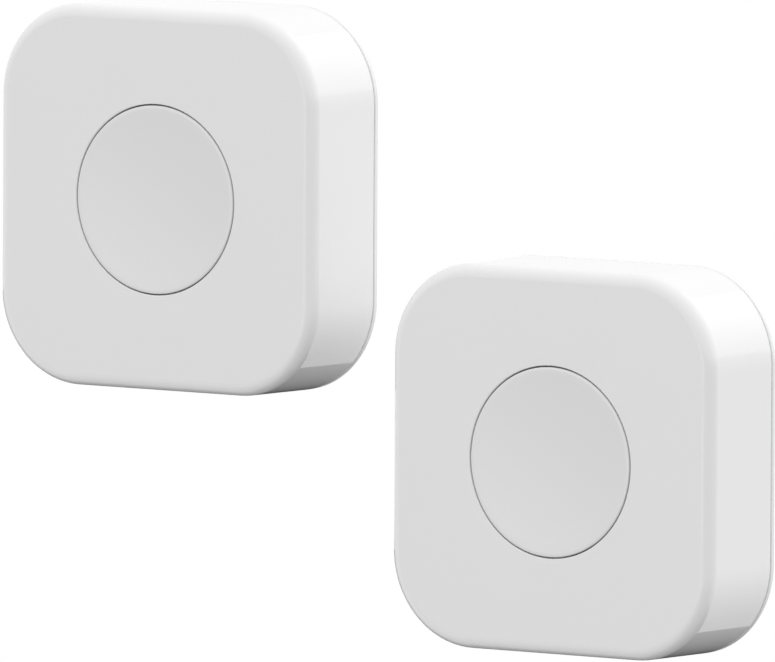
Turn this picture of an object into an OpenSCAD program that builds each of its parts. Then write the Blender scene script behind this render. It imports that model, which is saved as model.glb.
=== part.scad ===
// Door contact sensor: a sensor half and a magnet half with the same outside, both on one wall plane.
// +Z is up and the fronts face -Y. The origin is the centre of the sensor half's back face.
// Each half is drawn lying on its back: z is the height above the wall, and stand() turns it upright.

/* [Pair] */
// Distance from the sensor half's centre to the magnet half's, to the right
pair_right = 56; // [50:0.5:90]
// Distance from the sensor half's centre down to the magnet half's
pair_down = 27.6; // [0:0.2:40]

/* [Housing] */
// Side of each square housing, at the front
body_w = 45; // [44:0.5:60]
// Height of each housing above the wall
body_d = 13.2; // [13:0.1:20]
// Corner radius of the outline
corner_r = 11; // [9:0.5:13.5]
// Rounding of the front edge
front_fillet = 1.5; // [0.6:0.1:1.5]
// How much further out each side is at the wall than at the front
draft = 0.15; // [0.05:0.05:0.3]
// Thickness of the side walls
wall = 1.6; // [1.2:0.1:2]
// Thickness of the front wall
front_t = 1.6; // [1.2:0.1:2]
// Groove between the shell and the base
seam = 0.15; // [0.1:0.05:0.3]

/* [Base] */
// Thickness of the base's edge, which shows round the back
base_edge = 0.65; // [0.5:0.05:0.9]
// Thickness of the base inside the shell
base_t = 1.6; // [1.4:0.1:2.2]
// Height of the locating lip above the base
lip_h = 1.2; // [0.8:0.1:1.6]
// Thickness of the locating lip
lip_t = 1; // [0.8:0.1:1.2]
// Gap between the lip and the shell
lip_gap = 0.1; // [0.08:0.01:0.2]
// Distance of the pegs from the sides of the housing
peg_inset = 8; // [7:0.25:9]
// Radius of the friction pegs
peg_r = 1.4; // [1.1:0.1:1.6]
// Length of the friction pegs above the base
peg_l = 3.4; // [2.5:0.1:4.5]
// Gap between a peg and its socket
peg_gap = 0.05; // [0.03:0.01:0.08]
// Distance between the two wall screws
screw_spacing = 30; // [29:0.5:32]
// Radius of the wall screw holes
screw_hole_r = 1.75; // [1.5:0.05:2]
// Radius of the countersinks
screw_head_r = 3.1; // [2.6:0.1:3.4]
// Height of the raised ring round each screw hole, above the base
screw_ring_h = 0.9; // [0.5:0.1:1]
// Width of the adhesive pad
pad_w = 34; // [20:1:36]
// Height of the adhesive pad
pad_h = 20; // [12:1:22]
// Thickness of the adhesive pad
pad_t = 0.6; // [0.4:0.1:0.8]

/* [Button] */
// Radius of the round cap
cap_r = 11.08; // [9:0.02:11.5]
// Gap round the cap
cap_gap = 0.17; // [0.1:0.01:0.25]
// Thickness of the cap at its edge
cap_t = 1.2; // [1:0.1:1.3]
// Depth of the shallow dish in the cap
cap_dish = 0.3; // [0.1:0.05:0.4]
// Thickness of the cap's skirt
cap_skirt = 1.2; // [1:0.1:1.5]
// Overlap of the cap's flange behind the front wall
cap_flange = 1.3; // [0.8:0.1:1.5]
// Thickness of the cap's flange
cap_flange_t = 0.8; // [0.6:0.1:1]
// Radius of the cap's centre post
cap_post_r = 1.5; // [1.2:0.1:1.8]
// Travel of the cap
cap_travel = 0.4; // [0.3:0.05:0.5]

/* [Board] */
// Thickness of the circuit board
board_t = 1; // [0.8:0.1:1.2]
// Gap between the board and the shell's inside
board_gap = 1.9; // [1.2:0.1:2.5]
// Radius of the board screws' shanks
board_screw_r = 0.8; // [0.7:0.05:0.9]
// Radius of the board screws' heads
board_head_r = 1.6; // [1.4:0.1:1.8]
// Height of the board screws' heads
board_head_h = 1; // [0.8:0.1:1.2]
// Length of the board screws' shanks
board_screw_l = 4; // [3:0.5:4.5]

/* [Switch] */
// Side of the tactile switch
switch_w = 6; // [5:0.5:7]
// Height of the switch body
switch_h = 2; // [1.8:0.1:2.2]
// Thickness of the switch's metal cover
switch_cover_t = 0.3; // [0.2:0.05:0.4]
// Radius of the switch's plunger
plunger_r = 1.7; // [1.5:0.1:1.8]
// Height of the plunger above the cover
plunger_h = 0.8; // [0.6:0.1:1]

/* [Reed] */
// Radius of the reed switch's glass
reed_r = 1.1; // [0.9:0.05:1.2]
// Length of the reed switch's glass
reed_l = 14; // [10:0.5:15]
// Distance from the shell's inside to the reed's axis
reed_inset = 4.6; // [4.2:0.1:5]

/* [Cell] */
// Diameter of the coin cell
cell_d = 20; // [16:0.5:20]
// Thickness of the coin cell
cell_t = 3.2; // [2.5:0.1:3.2]
// Distance of the cell from the housing's centre, to the left
cell_left = 3; // [2.5:0.1:3.5]
// Gap between the cell and the holder
cell_gap = 0.15; // [0.1:0.05:0.3]
// Thickness of the holder's ring
holder_t = 1.2; // [1:0.1:1.3]
// Thickness of the contacts' sheet metal
contact_t = 0.3; // [0.2:0.05:0.4]
// Room between the cell and the base
cell_room = 0.5; // [0.4:0.1:0.8]

/* [Radio] */
// Width of the radio board
radio_w = 10.6; // [9:0.2:11]
// Height of the radio board
radio_h = 17; // [14:0.5:18]
// Thickness of the radio board
radio_t = 0.8; // [0.6:0.1:1]
// Height of the radio shield
shield_h = 1.8; // [1.4:0.1:2]

/* [Magnet] */
// Width and depth of the bar magnet
magnet_w = 4; // [3:0.25:4]
// Length of the bar magnet
magnet_l = 20; // [14:0.5:22]
// Distance from the shell's inside to the magnet's centre
magnet_inset = 4.2; // [4:0.1:5]
// Thickness of the magnet's carrier
carrier_t = 1.2; // [1:0.1:1.4]
// Wall of the magnet's pocket
pocket_t = 1; // [0.8:0.1:1.2]
// Gap between the magnet and its pocket
pocket_gap = 0.05; // [0.04:0.01:0.1]
// Radius of the foam pad behind the magnet half's cap
foam_r = 3; // [2:0.25:3.5]
// Thickness of the foam pad
foam_t = 2.1; // [1.6:0.1:2.5]

/* [Hidden] */
$fn = 64;
past = 1; // how far a cutting shape runs past the face that it cuts
weld = 0.4; // how far a boss runs into the wall that it grows from
clear = 0.3; // room between pieces that only pass each other
boss_wall = 1.3; // plastic round a peg's socket
post_wall = 1.25; // plastic round a small screw
white = [0.95, 0.95, 0.95];
metal = [0.78, 0.78, 0.8];

// Heights above the wall
shell_z = base_edge + seam;
front_z = body_d - front_t;
cell_z = base_t + cell_room;
board_z = cell_z + cell_t + contact_t;
board_top = board_z + board_t;
switch_top = board_top + switch_h;
cover_top = switch_top + switch_cover_t;
plunger_top = cover_top + plunger_h;
well_z = board_top + 0.7; // floor of the switch body's well

// Sizes in the plane of the wall
inner_w = body_w - 2 * wall;
inner_r = corner_r - wall;
half_in = inner_w / 2;
hole_r = cap_r + cap_gap;
flange_r = cap_r + cap_flange;
peg_at = body_w / 2 - peg_inset;
socket_r = peg_r + peg_gap;
boss_r = socket_r + boss_wall;
boss_z = base_t + clear;
socket_top = base_t + peg_l + clear;
board_w = inner_w - 2 * board_gap;
pilot_r = board_screw_r + 0.05;
post_r = pilot_r + post_wall;
post_clear = flange_r + post_r + clear; // least distance of a post from the cap's axis
post_at = max(board_w / 2 - post_r - 0.5, post_clear);
prop_r = 1.4;
prop_at = max(board_w / 2 - prop_r - 0.5, flange_r + prop_r + clear);
board_hole_r = board_screw_r + clear;
reed_x = half_in - reed_inset;
reed_z = board_z - reed_r - clear;
lead_r = 0.3;
foot_r = plunger_r + 0.4; // foot of the plunger, which the cover holds down
glass_end = 1.5; // length of the solid glass round each lead
lead_at = reed_l / 2 + 2;
lead_out = 0.6; // how far the leads stand out of the board
cell_r = cell_d / 2;
ring_in = cell_r + cell_gap;
ring_out = ring_in + holder_t;
radio_x = -(switch_w / 2 + 1.4 + radio_w / 2);
radio_y = -0.5;
carrier_z = plunger_top - foam_t - carrier_t;
magnet_x = -(half_in - magnet_inset);
magnet_z = carrier_z - magnet_w;
carrier_post_x = magnet_x + magnet_w / 2 + pocket_t + board_head_r + 2 * clear;
carrier_post_y = sqrt(max(pow(post_clear, 2) - pow(carrier_post_x, 2), pow(3 * post_r, 2)));
carrier_half_h = min(carrier_post_y + post_r, peg_at - boss_r - clear);

// Turns a half that lies on its back upright, with its front towards -Y
module stand() {
    rotate([90, 0, 0]) children();
}

// Puts the magnet half in its place beside the sensor half
module beside() {
    translate([pair_right, 0, -pair_down]) stand() children();
}

// Repeats a shape at the four pegs
module at_pegs() {
    for (x = [-peg_at, peg_at]) {
        for (y = [-peg_at, peg_at]) {
            translate([x, y, 0]) children();
        }
    }
}

// Repeats a shape at the two wall screws
module at_wall_screws() {
    for (y = [-screw_spacing / 2, screw_spacing / 2]) {
        translate([0, y, 0]) children();
    }
}

// A flat square with round corners
module round_square(w, r) {
    square([w, w - 2 * r], center = true);
    square([w - 2 * r, w], center = true);
    for (x = [-1, 1]) {
        for (y = [-1, 1]) {
            translate([x * (w / 2 - r), y * (w / 2 - r)]) circle(r);
        }
    }
}

// A plate of the same outline, from one height to another
module round_plate(w, r, z1, z2) {
    translate([0, 0, z1]) linear_extrude(z2 - z1) round_square(w, r);
}

// A round bar from one height to another
module bar(r, z1, z2) {
    translate([0, 0, z1]) cylinder(r = r, h = z2 - z1);
}

// A flat ring from one height to another
module ring(r_out, r_in, z1, z2) {
    difference() {
        bar(r_out, z1, z2);
        bar(r_in, z1 - past, z2 + past);
    }
}

// A block centred on a point of the plane, from one height to another
module block(x, y, w, h, z1, z2) {
    translate([x - w / 2, y - h / 2, z1]) cube([w, h, z2 - z1]);
}

// Outside of the shell: round corners, a little draft and a rounded front edge
module shell_body() {
    at = body_w / 2 - corner_r;
    fillet_steps = 5;
    profile = concat(
        [[0, shell_z], [corner_r + draft, shell_z]],
        [for (i = [0:fillet_steps]) [
            corner_r - front_fillet + front_fillet * cos(90 * i / fillet_steps),
            body_d - front_fillet + front_fillet * sin(90 * i / fillet_steps)
        ]],
        [[0, body_d]]
    );
    hull() {
        for (x = [-at, at]) {
            for (y = [-at, at]) {
                translate([x, y, 0]) rotate_extrude($fn = 32) polygon(profile);
            }
        }
    }
}

// Front shell without the posts that differ between the halves
module shell_blank() {
    difference() {
        shell_body();
        round_plate(inner_w, inner_r, shell_z - past, front_z);
        bar(hole_r, front_z - past, body_d + past);
    }
}

// A boss with a socket for a peg
module peg_boss() {
    difference() {
        bar(boss_r, boss_z, front_z + weld);
        bar(socket_r, boss_z - past, socket_top);
    }
}

// A post with a pilot hole for a small screw
module screw_post(z) {
    difference() {
        bar(post_r, z, front_z + weld);
        bar(pilot_r, z - past, z + board_screw_l);
    }
}

// A self-tapping screw whose head bears on the underside of what it holds at height z
module small_screw(z, hold_t) {
    slot_w = board_head_r * 0.32;
    slot_l = board_head_r * 1.3;
    difference() {
        union() {
            bar(board_head_r, z - board_head_h, z);
            bar(board_screw_r, z - past / 2, z + hold_t + board_screw_l - 2 * clear);
        }
        block(0, 0, slot_w, slot_l, z - board_head_h - past, z - board_head_h * 0.4);
        block(0, 0, slot_l, slot_w, z - board_head_h - past, z - board_head_h * 0.4);
    }
}

// Wall base: an edge that shows, a plate inside the shell, a lip, four pegs and two countersunk holes
module base() {
    edge_w = body_w + 2 * draft;
    plate_w = inner_w - 2 * lip_gap;
    plate_r = inner_r - lip_gap;
    ring_wall = 0.9;
    ring_z = base_t + screw_ring_h;
    sink_h = screw_head_r - screw_hole_r;
    lip_z = base_t - weld;
    difference() {
        union() {
            round_plate(edge_w, corner_r + draft, 0, base_edge);
            round_plate(plate_w, plate_r, base_edge / 2, base_t);
            difference() {
                round_plate(plate_w, plate_r, lip_z, base_t + lip_h);
                round_plate(plate_w - 2 * lip_t, plate_r - lip_t, lip_z - past, base_t + lip_h + past);
            }
            at_wall_screws() bar(screw_head_r + ring_wall, base_t - weld, ring_z);
            at_pegs() bar(peg_r, base_t - weld, base_t + peg_l);
        }
        block(0, 0, pad_w, pad_h, -past, pad_t);
        at_wall_screws() {
            bar(screw_hole_r, -past, ring_z + past);
            translate([0, 0, ring_z - sink_h]) cylinder(r1 = screw_hole_r, r2 = screw_head_r, h = sink_h);
            bar(screw_head_r, ring_z, ring_z + past);
        }
    }
}

// Foam tape in the base's recess, flush with the back
module adhesive_pad() {
    block(0, 0, pad_w, pad_h, 0, pad_t);
}

// Round cap: a shallow dish, a skirt, a flange behind the front wall and a centre post
module cap() {
    disc_z = body_d - cap_t;
    flange_z = front_z - cap_flange_t;
    rim_w = 0.4;
    dish_r = (pow(cap_r - rim_w, 2) + pow(cap_dish, 2)) / (2 * cap_dish);
    difference() {
        bar(cap_r, disc_z, body_d);
        translate([0, 0, body_d - cap_dish + dish_r]) sphere(dish_r, $fn = 200);
    }
    ring(cap_r, cap_r - cap_skirt, flange_z, disc_z + weld);
    ring(flange_r, cap_r - cap_skirt, flange_z, front_z);
    bar(cap_post_r, plunger_top, disc_z + weld);
}

// Front shell of the sensor half, with posts for the board
module sensor_front_shell() {
    color(white) stand() {
        shell_blank();
        at_pegs() peg_boss();
        for (y = [-post_at, post_at]) {
            translate([0, y, 0]) screw_post(board_top);
        }
        for (x = [-prop_at, prop_at]) {
            translate([x, 0, 0]) bar(prop_r, board_top, front_z + weld);
        }
    }
}

module sensor_base() {
    color(white) stand() base();
}

module sensor_adhesive_pad() {
    color([0.85, 0.85, 0.83]) stand() adhesive_pad();
}

module sensor_button_cap() {
    color(white) stand() cap();
}

// Circuit board, cut back round the bosses, with holes for the screws and the reed's leads
module sensor_pcb() {
    notch_r = boss_r + clear;
    color([0.1, 0.4, 0.25]) stand() difference() {
        round_plate(board_w, inner_r - board_gap, board_z, board_top);
        for (x = [-1, 1]) {
            for (y = [-1, 1]) {
                translate([x * peg_at, y * peg_at, 0]) {
                    bar(notch_r, board_z - past, board_top + past);
                    block(x * notch_r, 0, 2 * notch_r, 2 * notch_r, board_z - past, board_top + past);
                    block(0, y * notch_r, 2 * notch_r, 2 * notch_r, board_z - past, board_top + past);
                }
            }
        }
        for (y = [-post_at, post_at]) {
            translate([0, y, 0]) bar(board_hole_r, board_z - past, board_top + past);
        }
        for (y = [-lead_at, lead_at]) {
            translate([reed_x, y, 0]) bar(lead_r + 0.1, board_z - past, board_top + past);
        }
    }
}

module sensor_pcb_screws() {
    color(metal) stand() for (y = [-post_at, post_at]) {
        translate([0, y, 0]) small_screw(board_z, board_t);
    }
}

// Tactile switch: a moulded body with a round well for the dome and the plunger's foot
module switch_body() {
    color([0.12, 0.12, 0.12]) stand() difference() {
        block(0, 0, switch_w, switch_w, board_top, switch_top);
        bar(foot_r + clear, well_z, switch_top + past);
    }
}

// Four bent legs, soldered to the board on both sides of the switch body
module switch_terminals() {
    leg_w = 0.7;
    leg_t = 0.2;
    leg_rise = 0.9;
    foot = 1;
    color(metal) stand() for (x = [-1, 1]) {
        for (y = [-1, 1]) {
            at_y = y * (switch_w / 2 + leg_t / 2);
            block(x * switch_w / 3, at_y, leg_w, leg_t, board_top, board_top + leg_rise);
            block(x * switch_w / 3, at_y + y * foot / 2, leg_w, foot, board_top, board_top + leg_t);
        }
    }
}

// Spring dome on the floor of the well
module switch_dome() {
    dome_r = foot_r + clear / 2;
    rise = cap_travel + 0.2;
    sheet = 0.12;
    steps = 6;
    color(metal) stand() rotate_extrude() polygon(concat(
        [for (i = [0:steps]) [dome_r * i / steps, well_z + sheet + rise * cos(90 * i / steps)]],
        [for (i = [steps:-1:0]) [dome_r * i / steps, well_z + rise * cos(90 * i / steps)]]
    ));
}

// Plunger: a stem through the cover and a wider foot under it
module switch_plunger() {
    foot_t = 0.5;
    color([0.85, 0.82, 0.75]) stand() {
        bar(plunger_r, switch_top - foot_t, plunger_top);
        bar(foot_r, switch_top - foot_t, switch_top);
    }
}

// Sheet metal cover with a hole for the stem and two sides that clip down the body
module switch_cover() {
    side_t = 0.2;
    side_h = 1.2;
    color(metal) stand() {
        difference() {
            block(0, 0, switch_w + 2 * side_t, switch_w, switch_top, cover_top);
            bar(plunger_r + 0.1, switch_top - past, cover_top + past);
        }
        for (x = [-1, 1]) {
            side_x = x * (switch_w + side_t) / 2;
            block(side_x, 0, side_t, switch_w * 0.6, switch_top - side_h, switch_top + switch_cover_t / 2);
        }
    }
}

// Glass tube, closed round the leads at both ends
module reed_glass() {
    glass_t = 0.3;
    color([0.75, 0.85, 0.8]) stand() translate([reed_x, 0, reed_z]) rotate([90, 0, 0]) {
        difference() {
            bar(reed_r, -reed_l / 2, reed_l / 2);
            bar(reed_r - glass_t, glass_end - reed_l / 2, reed_l / 2 - glass_end);
            bar(lead_r, -reed_l / 2 - past, reed_l / 2 + past);
        }
    }
}

// Two spring blades that nearly touch inside the glass, each drawn out to a lead bent through the board
module reed_leads() {
    blade_w = 0.8;
    blade_t = 0.15;
    blade_gap = 0.1;
    overlap = 1.2;
    blade_end = reed_l / 2 - glass_end - 0.1;
    blade_l = blade_end + overlap / 2;
    leg_r = lead_r - 0.04;
    color(metal) stand() for (side = [-1, 1]) {
        blade_y = side * (blade_end - blade_l / 2);
        blade_z = reed_z + side * (blade_gap + blade_t) / 2 - blade_t / 2;
        translate([reed_x, 0, reed_z]) {
            rotate([-90 * side, 0, 0]) bar(lead_r, blade_end - 0.3, lead_at + 0.1);
        }
        block(reed_x, blade_y, blade_w, blade_l, blade_z, blade_z + blade_t);
        translate([reed_x, side * lead_at, 0]) bar(leg_r, reed_z - 0.1, board_top + lead_out);
    }
}

// Radio module: a small board with half-round edge pads
module radio_board() {
    pads = 7;
    pitch = 1.5;
    pad_r = 0.35;
    first = radio_y - radio_h / 2 + 1.6;
    color([0.08, 0.25, 0.45]) stand() difference() {
        block(radio_x, radio_y, radio_w, radio_h, board_top, board_top + radio_t);
        for (x = [-1, 1]) {
            for (i = [0:pads - 1]) {
                translate([radio_x + x * radio_w / 2, first + i * pitch, 0]) {
                    bar(pad_r, board_top - past, board_top + radio_t + past);
                }
            }
        }
    }
}

// Pressed shield can over the radio's chip
module radio_shield() {
    z = board_top + radio_t;
    sheet = 0.2;
    w = radio_w - 1.6;
    l = radio_h - 6.4;
    y = radio_y - radio_h / 2 + 0.8 + l / 2;
    color(metal) stand() difference() {
        block(radio_x, y, w, l, z, z + shield_h);
        block(radio_x, y, w - 2 * sheet, l - 2 * sheet, z - past, z + shield_h - sheet);
    }
}

module status_led() {
    color([0.95, 0.95, 0.8]) stand() block(8.5, 9, 1.6, 0.8, board_top, board_top + 0.7);
}

// Small capacitors and resistors, and one larger capacitor
module board_passives() {
    chip_l = 1.6;
    chip_w = 0.8;
    chip_h = 0.6;
    chip_pitch = 2.4;
    chips = 4;
    color([0.6, 0.5, 0.4]) stand() {
        for (column = [6.4, 9.4]) {
            for (i = [0:chips - 1]) {
                block(column, -7.5 + i * chip_pitch, chip_l, chip_w, board_top, board_top + chip_h);
            }
        }
        block(7.9, 5, 3.5, 2.8, board_top, board_top + 1.8);
    }
}

// Coin cell: a wide can towards the wall and a narrower cap towards the board
module coin_cell() {
    step_h = 0.5;
    step_r = 1;
    color(metal) stand() translate([-cell_left, 0, 0]) {
        bar(cell_r, cell_z, cell_z + cell_t - step_h);
        bar(cell_r - step_r, cell_z + cell_t - step_h - past / 2, cell_z + cell_t);
    }
}

// Battery holder: a low ring with a gap for each contact and hooks over the cell's edge
module battery_holder() {
    ring_h = 2.4;
    gap_w = 7;
    hook_w = 3;
    hook_z = cell_z - 0.3;
    hook_in = 0.8;
    color([0.15, 0.15, 0.15]) stand() translate([-cell_left, 0, 0]) {
        difference() {
            ring(ring_out, ring_in, board_z - ring_h, board_z);
            block(0, ring_out, gap_w, 2 * ring_out, board_z - ring_h - past, board_z + past);
        }
        for (turn = [30, 150, 210, 330]) {
            rotate([0, 0, turn]) {
                block(ring_in + holder_t / 2, 0, holder_t - 0.2, hook_w, hook_z, board_z - ring_h + weld);
                block(ring_in + 0.1 - hook_in / 2, 0, hook_in + 0.2, hook_w, hook_z, cell_z);
            }
        }
    }
}

// Spring blade against the cell's rim, with a foot on the board
module positive_contact() {
    blade_w = 5;
    foot_l = 2;
    blade_y = cell_r + 0.05;
    color([0.85, 0.8, 0.6]) stand() translate([-cell_left, 0, 0]) {
        block(0, blade_y + contact_t / 2, blade_w, contact_t, board_z - 3, board_z);
        block(0, blade_y + foot_l / 2, blade_w, foot_l, board_z - contact_t, board_z);
    }
}

// Star-shaped sheet under the cell
module negative_contact() {
    hub_r = 3;
    arm_l = 7;
    arm_w = 2;
    color([0.85, 0.8, 0.6]) stand() translate([-cell_left, 0, 0]) {
        bar(hub_r, board_z - contact_t, board_z);
        for (turn = [90, 210, 330]) {
            rotate([0, 0, turn]) block(arm_l / 2, 0, arm_l, arm_w, board_z - contact_t, board_z);
        }
    }
}

// Places of the magnet carrier's three screws
module at_carrier_screws() {
    for (y = [-carrier_post_y, carrier_post_y]) {
        translate([carrier_post_x, y, 0]) children();
    }
    translate([post_clear, 0, 0]) children();
}

module magnet_base() {
    color(white) beside() base();
}

module magnet_adhesive_pad() {
    color([0.85, 0.85, 0.83]) beside() adhesive_pad();
}

// Front shell of the magnet half, with posts for the magnet's carrier
module magnet_front_shell() {
    color(white) beside() {
        shell_blank();
        at_pegs() peg_boss();
        at_carrier_screws() screw_post(carrier_z + carrier_t);
    }
}

module magnet_cap() {
    color(white) beside() cap();
}

// Foam pad between the carrier and the cap's post
module magnet_cap_pad() {
    color([0.2, 0.2, 0.2]) beside() bar(foam_r, carrier_z + carrier_t, plunger_top);
}

// Carrier: a plate along the side, an arm behind the cap and a pocket for the magnet
module magnet_carrier() {
    pocket_w = magnet_w + 2 * (pocket_gap + pocket_t);
    pocket_l = magnet_l + 2 * (pocket_gap + pocket_t);
    pocket_z = carrier_z - 2.6;
    plate_left = magnet_x - pocket_w / 2;
    plate_w = carrier_post_x + post_r - plate_left;
    arm_w = 2 * post_r + 2.2;
    arm_l = post_clear + post_r - plate_left;
    top = carrier_z + carrier_t;
    color([0.75, 0.75, 0.75]) beside() difference() {
        union() {
            block(plate_left + plate_w / 2, 0, plate_w, 2 * carrier_half_h, carrier_z, top);
            block(plate_left + arm_l / 2, 0, arm_l, arm_w, carrier_z, top);
            block(magnet_x, 0, pocket_w, pocket_l, pocket_z, top);
        }
        block(magnet_x, 0, pocket_w - 2 * pocket_t, pocket_l - 2 * pocket_t, pocket_z - past, carrier_z);
        at_carrier_screws() bar(board_hole_r, carrier_z - past, top + past);
    }
}

module magnet_carrier_screws() {
    color(metal) beside() at_carrier_screws() small_screw(carrier_z, carrier_t);
}

module bar_magnet() {
    color([0.7, 0.7, 0.72]) beside() block(magnet_x, 0, magnet_w, magnet_l, magnet_z, carrier_z);
}

sensor_base();
sensor_adhesive_pad();
sensor_front_shell();
sensor_button_cap();
sensor_pcb();
sensor_pcb_screws();
switch_body();
switch_terminals();
switch_dome();
switch_plunger();
switch_cover();
reed_glass();
reed_leads();
radio_board();
radio_shield();
status_led();
board_passives();
coin_cell();
battery_holder();
positive_contact();
negative_contact();
magnet_base();
magnet_adhesive_pad();
magnet_front_shell();
magnet_cap();
magnet_cap_pad();
magnet_carrier();
magnet_carrier_screws();
bar_magnet();
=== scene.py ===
import math

import bmesh
import bpy
from mathutils import Matrix, Vector


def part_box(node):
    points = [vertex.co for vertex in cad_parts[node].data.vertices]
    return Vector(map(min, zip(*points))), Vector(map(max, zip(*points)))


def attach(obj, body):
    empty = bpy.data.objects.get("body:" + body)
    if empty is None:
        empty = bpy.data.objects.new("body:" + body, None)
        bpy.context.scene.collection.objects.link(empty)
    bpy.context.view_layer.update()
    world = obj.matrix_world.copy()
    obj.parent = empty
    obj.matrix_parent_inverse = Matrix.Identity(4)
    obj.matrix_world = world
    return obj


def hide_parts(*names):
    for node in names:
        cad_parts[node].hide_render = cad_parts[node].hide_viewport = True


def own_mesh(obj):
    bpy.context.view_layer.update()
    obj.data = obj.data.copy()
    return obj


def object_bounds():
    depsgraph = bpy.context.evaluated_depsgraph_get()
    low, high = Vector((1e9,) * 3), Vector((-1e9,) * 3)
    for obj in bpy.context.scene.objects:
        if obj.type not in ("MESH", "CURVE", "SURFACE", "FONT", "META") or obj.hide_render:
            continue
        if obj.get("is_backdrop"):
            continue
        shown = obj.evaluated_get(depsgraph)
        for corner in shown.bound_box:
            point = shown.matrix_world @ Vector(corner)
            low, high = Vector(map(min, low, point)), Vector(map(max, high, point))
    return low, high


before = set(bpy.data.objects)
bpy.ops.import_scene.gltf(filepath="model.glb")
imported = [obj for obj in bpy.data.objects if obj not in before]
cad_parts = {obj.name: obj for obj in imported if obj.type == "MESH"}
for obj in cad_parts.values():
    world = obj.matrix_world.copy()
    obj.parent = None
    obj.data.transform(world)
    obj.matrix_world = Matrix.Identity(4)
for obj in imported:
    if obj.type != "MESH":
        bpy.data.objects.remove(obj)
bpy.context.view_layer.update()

# Door contact sensor: a sensor half and a magnet half on one wall plane.
# Each piece is made lying on its back in millimetres, with z as the height above the wall.

MM = 0.001
QUARTER_TURN = math.radians(90)
FULL_TURN = 2 * math.pi
CORNER_STEPS = 23
ROUND = 4 * (CORNER_STEPS + 1)
SHARP = math.radians(38)

# Housing
BODY_W = 45.0
BODY_D = 13.2
CORNER_R = 11.0
FRONT_FILLET = 1.5
DRAFT = 0.15
WALL = 1.6
FRONT_Z = 11.6
SHELL_Z = 0.8
INNER_W = BODY_W - 2 * WALL
INNER_R = CORNER_R - WALL
HOLE_R = 11.25
PEG_AT = 14.5
BOSS_R = 2.75
BOSS_Z = 1.9
SOCKET_R = 1.45
SOCKET_TOP = 5.3
WELD = 0.4

# Base
BASE_EDGE = 0.65
BASE_T = 1.6
LIP_Z = 2.8
LIP_T = 1.0
LIP_W = INNER_W - 0.2
LIP_R = INNER_R - 0.1
PEG_R = 1.4
PEG_TOP = 5.0
WALL_SCREW_AT = 15.0
SCREW_HOLE_R = 1.75
SINK_R = 3.1
RING_R = 4.0
RING_Z = 2.5
PAD_W = 34.0
PAD_H = 20.0
PAD_T = 0.6

# Cap
CAP_R = 11.08
CAP_T = 1.2
DISH = 0.3
DISH_R = 10.68
FLANGE_R = 12.38
FLANGE_Z = 10.8
SKIRT_R = 9.88
POST_R = 1.5
POST_Z = 9.7

# Board, reed and cell
BOARD_Z = 5.6
BOARD_TOP = 6.6
BOARD_HALF = 19.0
BOARD_ARM = 11.45
NOTCH_R = 3.05
BOARD_HOLE_R = 1.1
SCREW_POST_AT = 16.4
SCREW_POST_R = 2.1
PILOT_R = 0.85
PILOT_L = 4.0
PROP_AT = 17.1
PROP_R = 1.4
REED_X = 16.3
REED_Z = 4.2
REED_R = 1.1
REED_L = 14.0
GLASS_T = 0.3
GLASS_END = 1.5
LEAD_R = 0.3
LEAD_AT = 9.0
LEAD_TOP = 7.2
CELL_X = -3.0
CELL_R = 10.0
CELL_Z = 2.1
CELL_TOP = 5.3
CAN_TOP = 4.8
HOLDER_IN = 10.15
HOLDER_OUT = 11.35
HOLDER_Z = 3.2
DOME_R = 2.25
DOME_Z = 7.3
DOME_RISE = 0.6
DOME_SHEET = 0.12

# Magnet and carrier
CARRIER_Z = 6.4
CARRIER_TOP = 7.6
CARRIER_LEFT = -19.75
CARRIER_RIGHT = -9.4
CARRIER_HALF_H = 11.38
ARM_HALF = 3.2
ARM_END = 16.88
CARRIER_SCREWS = ((-11.5, -9.28), (-11.5, 9.28), (14.78, 0.0))
POCKET_X = -16.7
POCKET_W = 6.1
POCKET_L = 22.1
POCKET_Z = 3.8
POCKET_T = 1.0
MAGNET_W = 4.0
MAGNET_L = 20.0
MAGNET_Z = 2.4
FOAM_R = 3.0


def place_of(node):
    """Turns a lying piece upright and puts it at the middle of a wall base."""
    low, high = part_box(node)
    middle = (low + high) / 2
    at = Matrix.Translation(Vector((middle.x, high.y, middle.z)))
    return at @ Matrix.Rotation(QUARTER_TURN, 4, "X") @ Matrix.Scale(MM, 4)


PLACES = {"sensor": place_of("sensor_base"), "magnet": place_of("magnet_base")}


# Shapes


def points_in(geom):
    return [item for item in geom if isinstance(item, bmesh.types.BMVert)]


def faces_in(geom):
    return [item for item in geom if isinstance(item, bmesh.types.BMFace)]


def rotated(bm, verts, angle, axis):
    """Turns points about an axis through the origin."""
    bmesh.ops.rotate(bm, cent=(0, 0, 0), matrix=Matrix.Rotation(angle, 3, axis), verts=verts)


def bevel(bm, geom, width, steps, affect="EDGES"):
    """Rounds edges, or the corners of a flat outline."""
    return bmesh.ops.bevel(
        bm, geom=geom, offset=width, offset_type="OFFSET", segments=steps,
        profile=0.5, affect=affect, material=-1, clamp_overlap=True,
    )


def edges_round(verts):
    """The edges at some vertices, each once and in a fixed order."""
    return list(dict.fromkeys(edge for vert in verts for edge in vert.link_edges))


def flat(bm, width, height, radius, z, at=(0, 0), steps=CORNER_STEPS):
    """A flat face with four round corners."""
    made = bmesh.ops.create_grid(bm, x_segments=1, y_segments=1, size=0.5)
    bmesh.ops.scale(bm, vec=(width, height, 1), verts=made["verts"])
    bmesh.ops.translate(bm, vec=(at[0], at[1], z), verts=made["verts"])
    corners = bevel(bm, made["verts"], radius, steps, "VERTICES")
    return corners["verts"][0].link_faces[0]


def opened(bm, face):
    """A face's outline, with the face taken away."""
    edges = list(face.edges)
    bmesh.ops.delete(bm, geom=[face], context="FACES_ONLY")
    return edges


def square(bm, width, radius, z):
    """The outline of a square with round corners."""
    return opened(bm, flat(bm, width, width, radius, z))


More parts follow.
